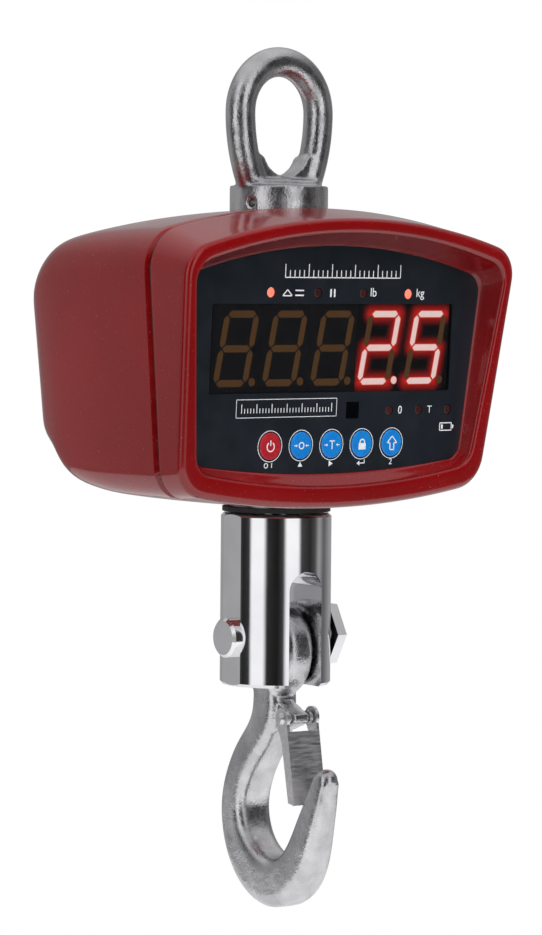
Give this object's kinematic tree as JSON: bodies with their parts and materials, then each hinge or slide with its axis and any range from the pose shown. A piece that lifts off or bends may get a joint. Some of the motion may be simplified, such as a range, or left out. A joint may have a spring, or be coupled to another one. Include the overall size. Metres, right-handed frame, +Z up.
{
  "type": "crane scale",
  "caption": "Hanging crane scale: lifting eye on top, wedge-faced red housing with LED weight display and round keys, and a swivel clevis carrying an eye hook with a spring latch",
  "frame": {"origin": "centre of the lifting eye's opening, where the hoist hook bears", "axes": "+Z up along the load line, the display faces -Y, +X to the right of someone reading the display"},
  "size_m": [0.2134, 0.1457, 0.4341],
  "materials": {
    "red_shell": "high gloss dark red",
    "panel_film": "satin blue-black film",
    "smoked_window": "smoked clear plastic",
    "digit_face": "dark digit module with amber-brown segments",
    "lamp_lens": "red diffused lens",
    "key_blue": "domed blue key",
    "key_red": "domed red key",
    "plated_forging": "zinc plated, fine grain",
    "bright_plate": "bright nickel plate",
    "spring_steel": "drawn wire",
    "machined_steel": "machined",
    "screw_steel": "zinc plated",
    "black_rubber": "matt",
    "circuit_board": "green solder mask",
    "black_plastic": "moulded",
    "battery_case": "moulded"
  },
  "bodies": {
    "housing": {"front_shell": "red_shell", "rear_shell": "red_shell", "battery_door": "red_shell", "display_overlay": "panel_film", "display_window": "smoked_window", "ir_window": "smoked_window", "digit_1": "digit_face", "digit_2": "digit_face", "digit_3": "digit_face", "digit_4": "digit_face", "digit_5": "digit_face", "lamp_1": "lamp_lens", "lamp_2": "lamp_lens", "lamp_3": "lamp_lens", "lamp_4": "lamp_lens", "lamp_5": "lamp_lens", "lamp_6": "lamp_lens", "lamp_7": "lamp_lens", "lifting_eye": "plated_forging", "load_cell": "machined_steel", "cell_cover_front": "machined_steel", "cell_cover_rear": "machined_steel", "swivel_carrier": "machined_steel", "cell_bracket": "machined_steel", "bearing_race_lower": "machined_steel", "bearing_cage": "machined_steel", "shell_screw_1": "screw_steel", "shell_screw_2": "screw_steel", "shell_screw_3": "screw_steel", "shell_screw_4": "screw_steel", "bracket_screw_1": "screw_steel", "bracket_screw_2": "screw_steel", "door_screw_1": "screw_steel", "door_screw_2": "screw_steel", "shell_gasket": "black_rubber", "swivel_seal": "black_rubber", "display_board": "circuit_board", "main_board": "circuit_board", "key_switch_1": "black_plastic", "key_switch_2": "black_plastic", "key_switch_3": "black_plastic", "key_switch_4": "black_plastic", "key_switch_5": "black_plastic", "charging_socket": "black_plastic", "battery_pack": "battery_case"},
    "swivel": {"clevis": "bright_plate", "hook_pin": "bright_plate", "stem_nut": "machined_steel", "bearing_race_upper": "machined_steel"},
    "hook_body": {"hook": "plated_forging", "latch_rivet": "bright_plate", "latch_spring": "spring_steel"},
    "latch_body": {"latch": "bright_plate"},
    "key_power_body": {"key_power": "key_red"},
    "key_zero_body": {"key_zero": "key_blue"},
    "key_tare_body": {"key_tare": "key_blue"},
    "key_hold_body": {"key_hold": "key_blue"},
    "key_up_body": {"key_up": "key_blue"}
  },
  "joints": [
    {"name": "swivel_turn", "type": "hinge", "parent": "housing", "child": "swivel", "pos_m": [0, 0, -0.187], "axis": [0, 0, 1], "continuous": true},
    {"name": "hook_swing", "type": "hinge", "parent": "swivel", "child": "hook_body", "pos_m": [0, 0, -0.2636], "axis": [0.9962, -0.0872, 0], "range_deg": [-60, 60]},
    {"name": "latch_open", "type": "hinge", "parent": "hook_body", "child": "latch_body", "pos_m": [-0.00174, -0.01992, -0.3037], "axis": [0.9962, -0.0872, 0], "range_deg": [0, 36], "stiffness_Nm_per_rad": 0.04, "springref_deg": -28.65},
    {"name": "key_power_press", "type": "slide", "parent": "housing", "child": "key_power_body", "axis": [0, 0.9984, 0.0558], "range_m": [0, 0.0005], "stiffness_N_per_m": 1500, "springref_m": -0.0004},
    {"name": "key_zero_press", "type": "slide", "parent": "housing", "child": "key_zero_body", "axis": [0, 0.9984, 0.0558], "range_m": [0, 0.0005], "stiffness_N_per_m": 1500, "springref_m": -0.0004},
    {"name": "key_tare_press", "type": "slide", "parent": "housing", "child": "key_tare_body", "axis": [0, 0.9984, 0.0558], "range_m": [0, 0.0005], "stiffness_N_per_m": 1500, "springref_m": -0.0004},
    {"name": "key_hold_press", "type": "slide", "parent": "housing", "child": "key_hold_body", "axis": [0, 0.9984, 0.0558], "range_m": [0, 0.0005], "stiffness_N_per_m": 1500, "springref_m": -0.0004},
    {"name": "key_up_press", "type": "slide", "parent": "housing", "child": "key_up_body", "axis": [0, 0.9984, 0.0558], "range_m": [0, 0.0005], "stiffness_N_per_m": 1500, "springref_m": -0.0004}
  ]
}
